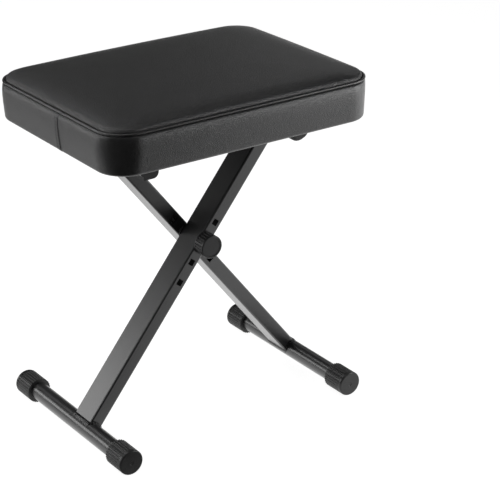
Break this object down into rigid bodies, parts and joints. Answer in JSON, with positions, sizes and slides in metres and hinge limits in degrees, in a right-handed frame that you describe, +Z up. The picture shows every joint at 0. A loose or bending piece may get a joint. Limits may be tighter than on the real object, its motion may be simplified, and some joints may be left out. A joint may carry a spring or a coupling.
{
  "type": "folding bench",
  "caption": "Folding X-frame bench with a padded rectangular seat, round foot bars with ribbed rubber caps and a clamp knob at the crossing of the legs.",
  "frame": {"origin": "on the floor under the middle of the bench, below the crossing of the legs", "axes": "+X along the seat towards the end it hinges at, -Y towards the side with the clamp knob, +Z up"},
  "size_m": [0.401, 0.301, 0.4841],
  "materials": {
    "leg_steel": "satin",
    "bar_steel": "gloss",
    "foot_rubber": "matte",
    "plug_plastic": "matte",
    "spacer_nylon": "satin",
    "knob_plastic": "satin",
    "bolt_steel": "satin",
    "nut_brass": "satin",
    "board_wood": "matte",
    "foam": "matte",
    "leatherette": "satin",
    "cover_cloth": "matte",
    "bracket_nylon": "satin"
  },
  "bodies": {
    "front_frame": {"front_leg": "leg_steel", "front_welds": "leg_steel", "front_foot_bar": "bar_steel", "front_top_bar": "bar_steel", "front_foot_cap_near": "foot_rubber", "front_foot_cap_far": "foot_rubber", "front_plug_near": "plug_plastic", "front_plug_far": "plug_plastic"},
    "rear_frame": {"rear_leg": "leg_steel", "rear_welds": "leg_steel", "rear_foot_bar": "bar_steel", "rear_top_bar": "bar_steel", "rear_foot_cap_near": "foot_rubber", "rear_foot_cap_far": "foot_rubber", "rear_plug_near": "plug_plastic", "rear_plug_far": "plug_plastic", "leg_spacer": "spacer_nylon", "clamp_bolt": "bolt_steel"},
    "thrust_washer": {"thrust_washer": "bolt_steel"},
    "knob": {"knob": "knob_plastic", "knob_nut": "nut_brass"},
    "seat": {"seat_board": "board_wood", "seat_foam": "foam", "top_panel": "leatherette", "side_band": "leatherette", "piping": "leatherette", "dust_cover": "cover_cloth", "pivot_bracket_near": "bracket_nylon", "pivot_bracket_far": "bracket_nylon", "hook_bracket_near": "bracket_nylon", "hook_bracket_far": "bracket_nylon", "bracket_screws": "bolt_steel"}
  },
  "joints": [
    {"name": "leg_fold", "type": "hinge", "parent": "front_frame", "child": "rear_frame", "pos_m": [0, 0, 0.24624], "axis": [0, -1, 0], "range_deg": [0, 96]},
    {"name": "seat_fold", "type": "hinge", "parent": "front_frame", "child": "seat", "pos_m": [0.11903, 0, 0.39625], "axis": [0, -1, 0], "range_deg": [0, 48]},
    {"name": "knob_travel", "type": "slide", "parent": "rear_frame", "child": "thrust_washer", "axis": [0, -1, 0], "range_m": [0, 0.0038]},
    {"name": "knob_turn", "type": "hinge", "parent": "thrust_washer", "child": "knob", "pos_m": [0, 0, 0.24624], "axis": [0, -1, 0], "range_deg": [0, 1080]}
  ],
  "couplings": [
    {"joint": "seat_fold", "follows": "leg_fold", "ratio": 0.5},
    {"joint": "knob_travel", "follows": "knob_turn", "m_per_rad": 0.00019894}
  ]
}
